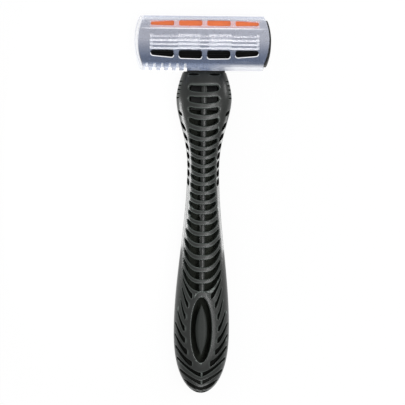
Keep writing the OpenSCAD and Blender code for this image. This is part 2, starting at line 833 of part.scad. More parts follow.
module protective_cap() {
    o = cap_gap + cap_wall;
    color([0.62, 0.67, 0.75, 0.45])
        head() {
            difference() {
                intersection() {
                    draw_x(cart_w + 10)
                        polygon(cart_side(o, cap_crown));
                    translate([0, 0, pivot_gap - 3])
                        linear_extrude(cart_d + 8)
                            cart_plan(o, cap_short);
                }
                intersection() {
                    draw_x(cart_w + 10)
                        polygon(cart_side(cap_gap, cap_crown));
                    translate([0, 0, pivot_gap - 3])
                        linear_extrude(cart_d + 8)
                            union() {
                                cart_plan(cap_gap, -cap_gap);
                                translate([0, -2 * guard_reach])
                                    square([cart_w, 4 * guard_reach]);
                            }
                }
                translate([end_r / 2 - cart_w / 2, cap_lip - guard_reach, pivot_gap - 3])
                    cube([cart_w, guard_reach + strip_reach - 2 * cap_lip, 4]);
                cap_windows();
            }
            for (i = [0 : cap_ribs - 1])
                translate([(i + 0.94) * cap_rib_pitch - cart_w / 2, -guard_reach - o - cap_rib_h, pivot_gap + 0.2])
                    cube([cap_rib_pitch * 0.43, cap_rib_h + cap_wall / 2, cart_d - 0.9]);
        }
}

handle_front_shell();
handle_back_shell();
handle_core();
lens_inlay();
pivot_yoke();
head_plunger();
plunger_spring();
cartridge_base();
cartridge_cover();
blade_1();
blade_2();
blade_3();
blade_4();
blade_support_1();
blade_support_2();
blade_support_3();
blade_support_4();
lubricating_strip();
guard_strip();
protective_cap();
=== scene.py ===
import json
import math

import bpy
import numpy as np
from mathutils import Matrix, Vector

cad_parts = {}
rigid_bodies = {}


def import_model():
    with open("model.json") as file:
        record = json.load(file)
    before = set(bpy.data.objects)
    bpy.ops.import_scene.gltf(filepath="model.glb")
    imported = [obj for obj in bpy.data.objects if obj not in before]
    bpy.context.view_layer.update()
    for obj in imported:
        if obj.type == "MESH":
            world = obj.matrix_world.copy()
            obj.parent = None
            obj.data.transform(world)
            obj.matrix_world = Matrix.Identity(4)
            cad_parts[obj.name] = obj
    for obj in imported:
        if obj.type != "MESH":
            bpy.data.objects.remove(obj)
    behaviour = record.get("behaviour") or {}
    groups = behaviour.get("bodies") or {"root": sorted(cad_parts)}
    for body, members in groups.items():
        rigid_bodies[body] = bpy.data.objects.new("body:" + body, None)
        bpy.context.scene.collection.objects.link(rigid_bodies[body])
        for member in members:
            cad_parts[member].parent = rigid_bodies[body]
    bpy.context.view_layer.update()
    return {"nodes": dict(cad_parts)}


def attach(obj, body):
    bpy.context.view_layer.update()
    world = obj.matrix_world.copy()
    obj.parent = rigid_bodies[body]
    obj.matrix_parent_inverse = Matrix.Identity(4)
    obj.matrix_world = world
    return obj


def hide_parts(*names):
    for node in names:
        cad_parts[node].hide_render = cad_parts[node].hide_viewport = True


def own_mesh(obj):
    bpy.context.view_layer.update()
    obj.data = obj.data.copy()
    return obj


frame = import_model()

# The camera hangs straight above the middle of the razor, far off, as for a catalogue picture.
# It is turned a little, so that the head leans to the right.
view_w, view_dist, view_roll = 0.1345, 2.0, math.radians(0.67)
view_x, view_y, view_z = -0.0001, 0.0423, 0.008
bpy.ops.object.camera_add(location=(view_x, view_y, view_z + view_dist), rotation=(0, 0, view_roll))
camera = bpy.context.object
camera.data.sensor_width = 36
camera.data.lens = camera.data.sensor_width * view_dist / view_w
camera.data.clip_start = 0.01
bpy.context.scene.camera = camera

# White seamless paper under the razor, matt, rolled out past the picture on all sides.
# The camera and whatever mirrors it see it close to full white, and it keeps the soft shadow.
paper_size, paper_y, paper_z = 3.0, 0.04, -0.0002
seen_white = 0.93


def linear(hex_colour):
    """sRGB hex to linear RGBA."""
    channels = [int(hex_colour[i:i + 2], 16) / 255 for i in (0, 2, 4)]
    return [c / 12.92 if c <= 0.04045 else ((c + 0.055) / 1.055) ** 2.4 for c in channels] + [1]


def add_node(tree, kind, sockets=None, **settings):
    """A shader node with its settings, its values and the links into it."""
    made = tree.nodes.new(kind)
    for name, value in settings.items():
        setattr(made, name, value)
    for name, value in (sockets or {}).items():
        if isinstance(value, bpy.types.NodeSocket):
            tree.links.new(value, made.inputs[name])
        else:
            made.inputs[name].default_value = value
    return made


def new_material(name):
    """An empty material with its node tree and output."""
    made = bpy.data.materials.new(name)
    made.use_nodes = True
    made.node_tree.nodes.clear()
    return made, made.node_tree, made.node_tree.nodes.new("ShaderNodeOutputMaterial")


def calc(tree, operation, a, b=0.0):
    """One step of arithmetic in a material."""
    return add_node(tree, "ShaderNodeMath", {0: a, 1: b}, operation=operation).outputs[0]


bpy.ops.mesh.primitive_plane_add(size=paper_size, location=(0, paper_y, paper_z))
paper = bpy.context.object
paper.name = "paper"
paper_white, tree, out = new_material("white_paper")
rays = add_node(tree, "ShaderNodeLightPath").outputs
seen = calc(tree, "MAXIMUM", rays["Is Camera Ray"], rays["Is Glossy Ray"])
seen = calc(tree, "MAXIMUM", seen, rays["Is Transmission Ray"])
matt = add_node(tree, "ShaderNodeBsdfDiffuse", {"Color": linear("f4f4f4")})
glow = add_node(tree, "ShaderNodeEmission", {"Color": (1, 1, 1, 1), "Strength": 1.0})
mixed = add_node(tree, "ShaderNodeMixShader", {
    0: calc(tree, "MULTIPLY", seen, seen_white), 1: matt.outputs[0], 2: glow.outputs[0]})
tree.links.new(mixed.outputs[0], out.inputs[0])
paper.data.materials.append(paper_white)

# Studio light: a small white card that stands close to the neck on the left, a box on the right of the head,
# a narrow box high up for the line on the spine and a square one for the butt, and cards beyond both ends that
# the blades and the edges of the ribs mirror, all in an even white room.
aim = Vector((0, 0.053, 0.008))
room_glow = 0.6
lit_paper_z = 0.0002


def add_lamp(name, place, turn, size, watts):
    """A rectangular area lamp that the camera doesn't see."""
    lamp = bpy.data.lights.new(name, "AREA")
    lamp.shape = "RECTANGLE"
    lamp.size, lamp.size_y = size
    lamp.energy = watts
    holder = bpy.data.objects.new(name, lamp)
    bpy.context.scene.collection.objects.link(holder)
    holder.location = place
    holder.rotation_euler = turn
    holder.visible_camera = False


for name, place, size, watts in (
    ("card_left", (-0.065, 0.053, 0.013), (0.036, 0.025), 0.045),
    ("box_right", (0.40, 0.22, 0.18), (0.14, 0.10), 0.35),
    ("box_high", (0.10, 0.02, 0.60), (0.30, 0.05), 0.8),
    ("box_butt", (0.27, -0.04, 0.50), (0.16, 0.16), 0.3),
    ("card_head", (0.0, 0.55, 0.16), (0.50, 0.12), 1.0),
    ("card_foot", (0.05, -0.50, 0.20), (0.30, 0.10), 0.8),
):
    add_lamp(name, place, (aim - Vector(place)).to_track_quat("-Z", "Y").to_euler(), size, watts)
# The white paper on both sides of the neck is lit well past white, and the flanks mirror it.
for name, x0, x1, y0, y1, glow in (
    ("paper_left", -0.065, -0.011, 0.028, 0.064, 5.0),
    ("paper_right", 0.011, 0.055, 0.027, 0.066, 4.5),
):
    size = x1 - x0, y1 - y0
    place = (x0 + x1) / 2, (y0 + y1) / 2, lit_paper_z
    add_lamp(name, place, (math.pi, 0, 0), size, glow * math.pi * size[0] * size[1])
room = bpy.data.worlds.new("room")
bpy.context.scene.world = room
room.use_nodes = True
room.node_tree.nodes.clear()
room_light = add_node(room.node_tree, "ShaderNodeBackground", {"Color": (1, 1, 1, 1), "Strength": room_glow})
add_node(room.node_tree, "ShaderNodeOutputWorld", {"Surface": room_light.outputs[0]})
bpy.context.scene.view_settings.view_transform = "Standard"

# Handle, back half: a moulded ABS shell that closes the hollow front, with a row of finger grooves
# across the back and two flat pads that it lies on. The halves are welded along the seam.
MM = 0.001
top_y, neck_y, shoulder_y, butt_reach = 85.5, 53.0, 77.0, 20.96
seam_z, wall, clear_z, weld_gap = 6.0, 1.6, 14, 0.002
# Sizes at the butt, at the neck, at the shoulder and at the head end.
width_at, front_at = (18.4, 10.6, 18.4, 14.4), (6.2, 4.2, 4.8, 3.8)
back_at = (seam_z + 0.3, seam_z - 2.2, seam_z + 0.3, seam_z - 1.6)
neck_power, head_power, section_power, end_power = 1.25, 1.6, 2.5, 2.3
# The wall thins over a run at the tip of the butt and at the head end.
thin_butt_run, thin_head_in, thin_head_run, thin_least = 6, 1.2, 1.5, 0.03
tongue_w, tongue_h, tongue_z, socket_gap, rim_share = 8.8, 4.6, 5.8, 0.06, 0.06
notch_n, notch_pitch, notch_r, notch_reach, notch_out = 6, 1.38, 0.28, 1.1, 0.1
notch_y = [shoulder_y + notch_pitch * i for i in range(notch_n)]
row_n, first_row, waist_pitch, head_pitch, butt_pitch = 20, 5.2, 2.9, 3.7, 4.05
waist_flat, waist_to_head, waist_to_butt = 4, 14, 30
finger_r, finger_out, first_finger, last_finger = 1.5, 0.9, 3, 16
back_step, seam_crowding, below_z = 0.3, 0.35, -1


def ease(t):
    """From 0 to 1 with a soft start and end."""
    t = np.clip(t, 0, 1)
    return t * t * (3 - 2 * t)


def mix(a, b, t):
    """From a to b."""
    return a + (b - a) * t


def along(sizes, y):
    """A size that runs from the butt through the neck and the shoulder to the head end."""
    butt, neck, shoulder, top = sizes
    low = mix(butt, neck, ease(y / neck_y))
    rising = np.clip((y - neck_y) / (shoulder_y - neck_y), 0, 1) ** neck_power
    high = mix(shoulder, top, np.clip((y - shoulder_y) / (top_y - shoulder_y), 0, 1) ** head_power)
    return np.where(y < neck_y, low, np.where(y < shoulder_y, mix(neck, shoulder, ease(rising)), high))


def fade(y):
    """The rounded end of the butt."""
    return np.sqrt(np.clip(1 - np.clip(-y / butt_reach, 0, 1) ** end_power, 0, 1))


def half_w(y):
    """Half the width of the handle."""
    return along(width_at, y) / 2 * fade(y)


def front_h(y, drop=0.0):
    """Height of the front above the seam."""
    return (along(front_at, y) - drop) * fade(y)


def back_h(y):
    """Depth of the back below the seam."""
    return along(back_at, y) * fade(y)


def from_waist(y):
    """How far a row lies from the waist, from 0 to 1."""
    return ease((y - neck_y - waist_flat) / waist_to_head if y > neck_y else (neck_y - y) / waist_to_butt)


def grid(name, places):
    """A grid primitive with its points set to places[row][column], in millimetres."""
    rows, columns = places.shape[:2]
    bpy.ops.object.select_all(action="DESELECT")
    bpy.ops.mesh.primitive_grid_add(x_subdivisions=columns - 1, y_subdivisions=rows - 1, size=2)
    made = bpy.context.object
    made.name = made.data.name = name
    co = np.zeros(len(made.data.vertices) * 3)
    made.data.vertices.foreach_get("co", co)
    co = co.reshape(-1, 3)
    column = np.rint((co[:, 0] + 1) / 2 * (columns - 1)).astype(int)
    row = np.rint((co[:, 1] + 1) / 2 * (rows - 1)).astype(int)
    made.data.vertices.foreach_set("co", places[row, column].ravel())
    made.data.update()
    return made


def pick(*parts):
    """These pieces alone selected, with the first one active."""
    bpy.ops.object.select_all(action="DESELECT")
    for part in parts:
        part.select_set(True)
    bpy.context.view_layer.objects.active = parts[0]


def edit(made):
    """Edit mode on this piece alone, with nothing selected."""
    pick(made)
    bpy.ops.object.mode_set(mode="EDIT")
    bpy.ops.mesh.select_all(action="DESELECT")


def weld(made):
    """Doubles merged and normals turned outwards."""
    edit(made)
    bpy.ops.mesh.select_all(action="SELECT")
    bpy.ops.mesh.remove_doubles(threshold=weld_gap)
    bpy.ops.mesh.normals_make_consistent(inside=False)
    bpy.ops.object.mode_set(mode="OBJECT")


def modify(made, kind, **settings):
    """A modifier, set and applied."""
    pick(made)
    added = made.modifiers.new(kind.lower(), kind)
    for name, value in settings.items():
        setattr(added, name, value)
    bpy.ops.object.modifier_apply(modifier=added.name)


def close_ends(made):
    """A welded tube with its ends filled."""
    weld(made)
    edit(made)
    bpy.ops.mesh.select_all(action="SELECT")
    bpy.ops.mesh.fill_holes(sides=0)
    bpy.ops.mesh.normals_make_consistent(inside=False)
    bpy.ops.object.mode_set(mode="OBJECT")


def thin_ends(made):
    """A vertex group that thins the wall towards the tip of the butt and at the head end."""
    group = made.vertex_groups.new(name="wall")
    for v in made.data.vertices:
        at_butt = (v.co.y + butt_reach) / thin_butt_run
        at_head = (top_y - thin_head_in - v.co.y) / thin_head_run
        group.add([v.index], max(thin_least, min(1.0, at_butt, at_head)), "REPLACE")


def prism(outline, z0, z1, dark):
    """An upright cutter over a closed outline of x and y, whose walls come out as skin or in painted shade."""
    made = grid("cutter", np.array([np.column_stack([outline, np.full(len(outline), z)]) for z in (z0, z1)]))
    close_ends(made)
    for finish in (grip_plastic, shade_painted_abs):
        made.data.materials.append(finish)
    for face in made.data.polygons:
        face.material_index = int(dark)
    return made


def cut(made, *cutters):
    """The cutters joined and taken off the piece."""
    pick(*cutters)
    bpy.ops.object.join()
    cutter = bpy.context.object
    modify(made, "BOOLEAN", object=cutter, operation="DIFFERENCE", solver="EXACT")
    bpy.data.objects.remove(cutter)


def notch_cutters(rows, z0, dark):
    """Upright ovals that nick both sides of the shoulder."""
    a = np.linspace(0, 2 * math.pi, 21)
    made = []
    for side in (-1, 1):
        for y in rows:
            x = side * (half_w(y) + notch_out) + notch_reach * np.cos(a)
            made.append(prism(np.stack([x, y + notch_r * np.sin(a)], axis=1), z0, clear_z, dark))
    return made


def finish_piece(made, body, slot, *nodes, angle=35):
    """Millimetres to metres, smooth shading, and its place in the frame."""
    made.data.transform(Matrix.Scale(MM, 4))
    pick(made)
    bpy.ops.object.shade_smooth_by_angle(angle=math.radians(angle))
    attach(made, body)
    if nodes:
        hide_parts(*nodes)


def end_wall(points, z_edge):
    """Two more rows that close the head end of a half shell down to the socket of the yoke."""
    x, z = points[:, 0], points[:, 2] - seam_z
    reach = np.minimum(
        (tongue_w / 2 + socket_gap) / np.maximum(np.abs(x), 1e-6),
        abs(z_edge - seam_z) / np.maximum(np.abs(z), 1e-6))
    rim = np.stack([x * reach, np.full_like(x, top_y), seam_z + z * reach], axis=1)
    mid = points * (1 - rim_share) + rim * rim_share
    return [rim, mid]


def noise(tree, mm, detail=2.0, squeeze=None):
    """Noise with a grain of this many millimetres, drawn out along x where it is squeezed."""
    place = add_node(tree, "ShaderNodeTexCoord").outputs["Object"]
    if squeeze:
        place = add_node(tree, "ShaderNodeMapping", {"Vector": place, "Scale": (squeeze, 1, 1)}).outputs[0]
    sockets = {"Vector": place, "Scale": 1 / (mm * MM), "Detail": detail}
    return add_node(tree, "ShaderNodeTexNoise", sockets).outputs["Fac"]


def blend(tree, share, a, b):
    """Two colours mixed."""
    return add_node(tree, "ShaderNodeMix", {"Factor": share, "A": a, "B": b}, data_type="RGBA").outputs["Result"]


def spread(tree, value, low, high, start=0.0, end=1.0):
    """A value that runs from start to end, made to run from low to high."""
    return add_node(tree, "ShaderNodeMapRange", {
        "Value": value, "From Min": start, "From Max": end, "To Min": low, "To Max": high}).outputs[0]


def dimples(tree, height, strength, mm):
    """A bump of this depth."""
    sockets = {"Height": height, "Strength": strength, "Distance": mm * MM}
    return add_node(tree, "ShaderNodeBump", sockets).outputs[0]


def surface(tree, out, sockets):
    """The plain surface of a material."""
    skin = add_node(tree, "ShaderNodeBsdfPrincipled", sockets)
    tree.links.new(skin.outputs[0], out.inputs[0])


# Satin ABS, dark grey with a touch of green: spark-eroded mould grain, so highlights are broad but clear,
# and a painted highlight: a paler tone on the sharp edges, standing in for the light their rounding catches.
grip_plastic, tree, out = new_material("satin_grey_abs")
tone = blend(tree, noise(tree, 6, 3.0), linear("131614"), linear("1b1e1c"))
# Pointiness picks out the sharp edges that get the painted highlight.
edge_highlight_mask = add_node(tree, "ShaderNodeNewGeometry").outputs["Pointiness"]
grain = noise(tree, 0.22)
surface(tree, out, {
    "Base Color": blend(tree, spread(tree, edge_highlight_mask, 0.0, 1.0, 0.51, 0.58), tone, linear("59615d")),
    "Roughness": spread(tree, grain, 0.26, 0.36), "Normal": dimples(tree, grain, 0.06, 0.02), "IOR": 1.53})


# The inside is the same plastic, as moulded and matt, in two copies: painted shade blackens the grooves, the slot
# walls and the inside of the front, and painted light makes the inner wall of the back paler, where the slots let
# light in.
def painted_abs_copy(name, deep, pale):
    """Matt ABS between two tones: the dark ones paint shade, the pale ones paint light."""
    made, tree, out = new_material(name)
    surface(tree, out, {
        "Base Color": blend(tree, noise(tree, 3), linear(deep), linear(pale)),
        "Roughness": 0.8, "Specular IOR Level": 0.15})
    return made


shade_painted_abs = painted_abs_copy("abs_painted_shade", "070807", "0f100d")
light_painted_abs = painted_abs_copy("inner_wall_abs_painted_light", "3b3f38", "454942")

row_y = [top_y - first_row]
while len(row_y) < row_n:
    y = row_y[-1] - waist_pitch / 2
    row_y.append(row_y[-1] - mix(waist_pitch, head_pitch if y > neck_y else butt_pitch, from_waist(y)))
row_y = np.array(row_y)

back_lines = np.concatenate([
    -butt_reach * np.cos(np.radians(np.linspace(0, 90, 46)[:-1])),
    np.arange(0, top_y, back_step), [top_y]])
turn = np.linspace(0, 1, 49)
back_angles = np.radians(180 + 180 * ease(turn) * seam_crowding + 180 * turn * (1 - seam_crowding))
c, s = np.cos(back_angles), np.sin(back_angles)
rows = []
for y in back_lines:
    y = np.full_like(back_angles, y)
    x = half_w(y) * np.sign(c) * np.abs(c) ** (2 / section_power)
    z = seam_z - back_h(y) * np.abs(s) ** (2 / section_power)
    for groove in row_y[first_finger:last_finger + 1]:
        floor = seam_z - back_h(groove) - finger_out
        arc = floor + np.sqrt(np.clip(finger_r ** 2 - (y - groove) ** 2, 0, None))
        z = np.maximum(z, np.where(np.abs(y - groove) < finger_r, arc, 0))
    rows.append(np.stack([x, y, np.clip(z, 0, seam_z)], axis=1))
rim, mid = end_wall(rows[-1], tongue_z - tongue_h / 2 - socket_gap)
back = grid("grip_back", np.array(rows + [mid, rim]))
# The inner wall of the back takes the paler copy with painted light.
for finish in (grip_plastic, light_painted_abs):
    back.data.materials.append(finish)
weld(back)
modify(back, "SMOOTH", factor=0.35, iterations=1)
thin_ends(back)
modify(back, "SOLIDIFY", thickness=wall, offset=-1, material_offset=1, vertex_group="wall")
cut(back, *notch_cutters(notch_y, below_z, False))
finish_piece(back, "handle", "handle_plastic", "handle_back_shell")

# Handle, front half: the same ABS, moulded with twenty rows of open slots, chevron grooves on the butt,
# an oval window, slanted dashes through the flanks and two small lens slots at the head end.
# Slots: each size goes over from its waist value to its value at the head or at the butt, within a run of y.
slot_reach, lip_y = 5.0, 0.25
rail_w, low_rail_w, low_rail_y, low_rail_run = 1.3, 2.1, 28, 14
slot_shift, shift_past, shift_run, last_slot_shift = 0.7, 4, 25, 0.25
waist_slot_h, head_slot_h, butt_slot_h = 1.6, 2.0, 2.4
head_rise, waist_rise, butt_rise = 0.3, 1.5, 5.9
head_rise_y, head_rise_run = shoulder_y + 3.7, 18
butt_rise_y, butt_rise_run = neck_y * 0.85, neck_y * 0.68
waist_tip, far_tip, head_tip_run, butt_tip_run = 0.75, 0.85, 24, 26
waist_curl, butt_curl, curl_run = 2.2, 3.0, 15
# Grooves: height in the middle and at the tip, for those that start at the border, the others and the last one.
border_groove_h, groove_h, last_groove_h = (1.8, 0.85), (1.2, 0.65), (0.95, 0.6)
groove_n, groove_pitch, groove_gap, first_groove_gap, last_groove_up = 10, 3.88, 2.6, 3.45, 0.45
groove_d, low_groove_d, groove_curl = 1.2, 0.35, 1.4
groove_rise_run, groove_rise_power, border_least = 3.2 * groove_pitch, 0.65, 0.1
groove_margin, low_margin, margin_y, margin_run = 1.9, 0.35, 2, 10
# Window and its border, flank dashes, shoulder notches and end slots, with the floors of their cutters.
lens_l, lens_w, lens_z = 21.6, 6.9, seam_z + 0.3
border_l, border_w, border_up, border_run = 2.6, 2.3, 0.12, 0.8
dash_n, first_dash, dash_w, dash_z = 8, 2, 0.85, seam_z + 0.8
dash_share, first_dash_share = 0.95, 0.55
dash_top_in, dash_waist_in, dash_head_in, dash_run = 0.25, 0.6, 1.15, 14
front_notch_n, front_notch_z = 5, seam_z + 0.6
end_slot_l, end_slot_w, end_slot_x, end_slot_in, end_slot_z = 4.14, 0.8, 3.43, 0.7, tongue_z + 2.6
# The tip of the butt is smoothed.
tip_y, tip_run, tip_rise = -19.6, 0.7, 0.3
# Mesh lines along a row: from the middle to a split, on to the row's tip, and over the flank to the seam.
inner_n, outer_n, split, low_split, split_y = 6, 10, 0.45, 0.3, 24
tip_crowding, narrowing, flank_gap, flank_rise = 1.5, 1.4, 0.25, 0.6
flank = np.array([0.1, 0.22, 0.35, 0.48, 0.6, 0.71, 0.81, 0.89, 0.95, 0.985, 1.0])
slot_faces, deep_faces, low_faces, face_kinds = 1, 2, 3, 4


def lens_half(y, l, w):
    """Half the width of a lens outline of length l and width w at y."""
    r = (l * l + w * w) / (4 * w)
    return np.clip(np.sqrt(np.clip(r * r - y * y, 0, None)) - r + w / 2, 0, None)


def border_half(y):
    """Half the width of the smooth border about the oval window."""
    return (lens_w / 2 + border_w) * np.sqrt(np.clip(1 - (y / (lens_l / 2 + border_l)) ** 2, 0, None))


def boss(x, y):
    """The border stands up a little."""
    return border_up * ease((border_half(y) - np.abs(x)) / border_run)


def crossing(centre, rise, x1, share, h0=0.0, h1=0.0, side=0, start=0.0, power=1.8):
    """One edge of a row across the right half: level to its start, up to its tip, over the flank to the seam."""
    u = np.linspace(0, 1, outer_n + 1)[1:]
    u = share + (1 - share) * (1 - (1 - u) ** tip_crowding)
    t = np.concatenate([np.linspace(0, share, inner_n + 1), u])
    way = np.clip((t - start) / (1 - start), 0, 1)
    h = mix(h0, h1, way ** narrowing)
    if h1:
        blunt = 1 - 0.5 * h1 / max(x1, 0.1)
        h = h * np.sqrt(np.clip(1 - np.clip((t - blunt) / (1 - blunt + 1e-9), 0, 1) ** 2, 0.01, 1))
    inner = centre + rise * way ** power + side * h / 2
    edge = half_w(centre + 1.5 * rise)
    more = flank * max(edge - x1, 0) / max(x1, 0.1)
    gap = mix(h[-1] / 2, flank_gap, ease(flank * 3)) if h0 else 0
    outer = centre + rise * (1 + flank_rise * (1 - np.exp(-3 * more))) + side * gap
    return np.concatenate([inner, outer]), x1, np.concatenate([t, 1 + flank])


# The edges of all rows in order, each with what lies between it and the next one.
keys = [(crossing(y, 0, slot_reach, split), None) for y in (top_y, top_y - lip_y)]
slot_y = row_y - slot_shift * ease((top_y + shift_past - row_y) / shift_run)
slot_y[-1] += last_slot_shift
for y in slot_y:
    reach = half_w(y) - mix(rail_w, low_rail_w, ease((low_rail_y - y) / low_rail_run))
    if y > neck_y:
        reach = min(slot_reach, reach)
        rise = mix(head_rise, waist_rise, ease((head_rise_y - y) / head_rise_run))
        tip = mix(waist_tip, far_tip, ease((y - neck_y) / head_tip_run))
        curl = waist_curl
        h = mix(waist_slot_h, head_slot_h, from_waist(y))
    else:
        rise = mix(waist_rise, butt_rise, ease((butt_rise_y - y) / butt_rise_run))
        tip = mix(waist_tip, far_tip, ease((neck_y - y) / butt_tip_run))
        curl = mix(waist_curl, butt_curl, ease((neck_y - y) / curl_run))
        h = mix(waist_slot_h, butt_slot_h, from_waist(y))
    share = split if y > split_y else low_split
    for side, kind in ((1, "slot"), (-1, None)):
        keys.append((crossing(y, rise, reach, share, h, h * tip, side, 0.0, curl), kind))
tips = row_y[-1] + butt_rise - (groove_gap + groove_pitch * np.arange(groove_n))
tips[0] = row_y[-1] + butt_rise - first_groove_gap
tips[-1] += last_groove_up
for i, tip in enumerate(tips):
    rise = butt_rise * min(1, ((tip + butt_reach) / groove_rise_run) ** groove_rise_power)
    reach = half_w(tip) - mix(low_margin, groove_margin, ease((tip - margin_y) / margin_run))
    start = border_half(tip - rise) / reach
    if start > border_least:
        share, heights, what = start, border_groove_h, "groove"
    elif i < groove_n - 2:
        share, heights, what = low_split, groove_h, "groove across"
    else:
        share, heights, what = low_split, groove_h if i < groove_n - 1 else last_groove_h, "groove low"
    for side, kind in ((1, what), (-1, None)):
        keys.append((crossing(tip - rise, rise, reach, share, *heights, side, start, groove_curl), kind))
tip_line = (np.full_like(keys[-1][0][0], -butt_reach), 0.0, keys[-1][0][2])
keys.append((tip_line, None))

lines, kinds = [], []
for (a, kind), (b, _) in zip(keys[:-1], keys[1:]):
    if kind == "slot":
        steps = [0]
    elif kind:
        steps = [0, 0.5]
    elif len(lines) == 1:
        steps = np.linspace(0, 1, 11)[:-1]
    else:
        steps = [0, 0.22, 0.5, 0.78]
    for s in steps:
        lines.append([mix(p, q, s) for p, q in zip(a, b)])
        kinds.append(kind)
lines.append(list(tip_line))
rows = []
for y, x1, t in lines:
    wide = np.maximum(half_w(y), 1e-6)
    on_top = t <= 1
    q = np.clip(np.where(on_top, t * x1, 0) / wide, 0, 0.999)
    tip_q = np.clip(x1 / wide, 0, 0.999)
    a = np.arccos(tip_q ** (section_power / 2)) * (2 - t)
    a = np.clip(np.where(on_top, 0, a), 0, math.pi / 2)
    x = np.where(on_top, np.minimum(t * x1, 0.999 * wide), wide * np.cos(a) ** (2 / section_power))
    z_share = np.where(on_top, (1 - q ** section_power) ** (1 / section_power), np.sin(a) ** (2 / section_power))
    half = np.stack([x, y, seam_z + front_h(y) * z_share + boss(x, y)], axis=1)
    rows.append(np.concatenate([half[:0:-1] * [-1, 1, 1], half]))
rim, mid = end_wall(rows[0], tongue_z + tongue_h / 2 + socket_gap)
rows = np.array([rim, mid] + rows)
kinds = [None, None] + kinds
front = grid("grip_front", rows)
for _ in range(2 * face_kinds):
    front.data.materials.append(grip_plastic)
columns = rows.shape[1]
middle = columns // 2
for face in front.data.polygons:
    line, column = divmod(min(face.vertices), columns)
    kind = kinds[line]
    k = column - middle if column >= middle else middle - 1 - column
    if kind and k < inner_n + outer_n and not (kind == "groove" and k < inner_n):
        face.material_index = {"slot": slot_faces, "groove low": low_faces}.get(kind, deep_faces)
edit(front)
front.active_material_index = slot_faces
bpy.ops.object.material_slot_select()
bpy.ops.mesh.delete(type="FACE")
bpy.ops.object.mode_set(mode="OBJECT")
weld(front)
thin_ends(front)
modify(front, "SOLIDIFY", thickness=wall, offset=-1, material_offset=face_kinds, vertex_group="wall")
for index, depth in ((deep_faces, groove_d), (low_faces, low_groove_d)):
    edit(front)
    front.active_material_index = index
    bpy.ops.object.material_slot_select()
    bpy.ops.mesh.extrude_region_shrink_fatten(TRANSFORM_OT_shrink_fatten={"value": -depth})
    bpy.ops.mesh.select_more()
    bpy.ops.object.material_slot_assign()
    bpy.ops.object.mode_set(mode="OBJECT")
modify(front, "SUBSURF", levels=1, render_levels=1)
group = front.vertex_groups.new(name="tip")
for v in front.data.vertices:
    share = ease((tip_y - v.co.y) / tip_run) * ease((v.co.z - seam_z) / tip_rise)
    group.add([v.index], float(share), "REPLACE")
modify(front, "SMOOTH", factor=0.5, iterations=10, vertex_group="tip")
# Groove floors and walls and the inside of the front take the copy with painted shade.
for face in front.data.polygons:
    face.material_index = 1 if face.material_index >= deep_faces else 0
while len(front.data.materials) > 2:
    front.data.materials.pop()
front.data.materials[1] = shade_painted_abs


def front_z(x, y):
    """Height of the front's skin."""
    q = np.clip(np.abs(x) / half_w(y), 0, 1)
    return seam_z + front_h(y) * (1 - q ** section_power) ** (1 / section_power) + boss(x, y)


def oval_ring(l, w):
    """Points round an oval."""
    a = np.linspace(0, 2 * math.pi, 73)
    return np.stack([w / 2 * np.sin(a), l / 2 * np.cos(a)], axis=1)


def lens_ring(l, w, n):
    """Points round a lens outline."""
    y = l / 2 * np.cos(np.linspace(0, math.pi, n))
    right = np.stack([lens_half(y, l, w), y], axis=1)
    return np.concatenate([right, (right * [-1, 1])[::-1][1:]])


# The window is cut straight through and its upper edge is rounded off.
levels = []
for grow, rise in ((0, None), (0, -0.45), (0.05, -0.2), (0.16, -0.06), (0.34, 0.02), (1.6, 0.7)):
    ring = oval_ring(lens_l + 2 * grow, lens_w + 2 * grow)
    z = np.full(len(ring), lens_z) if rise is None else front_z(ring[:, 0], ring[:, 1]) + rise
    levels.append(np.column_stack([ring, z]))
levels.append(levels[-1] * [1, 1, 0] + [0, 0, clear_z + 2])
cutter = grid("lens_cutter", np.array(levels))
close_ends(cutter)
for finish in (grip_plastic, shade_painted_abs):
    cutter.data.materials.append(finish)
cut(front, cutter)
cutters = notch_cutters(notch_y[:front_notch_n], front_notch_z, True)
for side in (-1, 1):
    for i in range(first_dash, first_dash + dash_n):
        ya = row_y[i]
        yb = mix(ya, row_y[i + 1], first_dash_share if i == first_dash else dash_share)
        a = np.array([half_w(ya) - dash_top_in, ya])
        b = np.array([half_w(yb) - mix(dash_waist_in, dash_head_in, ease((yb - neck_y) / dash_run)), yb])
        length = np.linalg.norm(b - a)
        run = (b - a) / length
        ring = lens_ring(length, dash_w, 12)
        outline = (a + b) / 2 + ring[:, 1:] * run + ring[:, :1] * [run[1], -run[0]]
        cutters.append(prism(outline * [side, 1], dash_z, clear_z, True))
    ring = lens_ring(end_slot_l, end_slot_w, 16)
    outline = np.column_stack([ring[:, 1] + side * end_slot_x, ring[:, 0] + top_y - end_slot_in])
    cutters.append(prism(outline, end_slot_z, clear_z, True))
cut(front, *cutters)
finish_piece(front, "handle", "handle_plastic", "handle_front_shell")

# Arch: a small raised bead above the window, where the last slot row ends.
# It is moulded on the border of the front half, of the same ABS.
arch_r, arch_y, arch_from, arch_to, arch_bead_r, arch_sunk = 2.35, 10.3, 5, 175, 0.2, 0.02


def bead(name, path, r):
    """A round bead of radius r along a path, thinned to nothing at its ends."""
    run = np.gradient(path, axis=0)
    run /= np.linalg.norm(run, axis=1)[:, None]
    across = np.cross(run, [0, 0, 1])
    across /= np.linalg.norm(across, axis=1)[:, None]
    up = np.cross(across, run)
    thick = (r * np.sqrt(np.clip(1 - np.linspace(-1, 1, len(path)) ** 8, 0.02, 1)))[:, None]
    turns = np.linspace(0, 2 * math.pi, 13)
    made = grid(name, np.array([path + thick * (across * math.cos(a) + up * math.sin(a)) for a in turns]))
    close_ends(made)
    return made


a = np.radians(np.linspace(arch_from, arch_to, 30))
x, y = arch_r * np.cos(a), arch_y + arch_r * np.sin(a)
arch = bead("grip_arch", np.stack([x, y, front_z(x, y) - arch_sunk], axis=1), arch_bead_r)
arch.data.materials.append(grip_plastic)
finish_piece(arch, "handle", "handle_plastic")

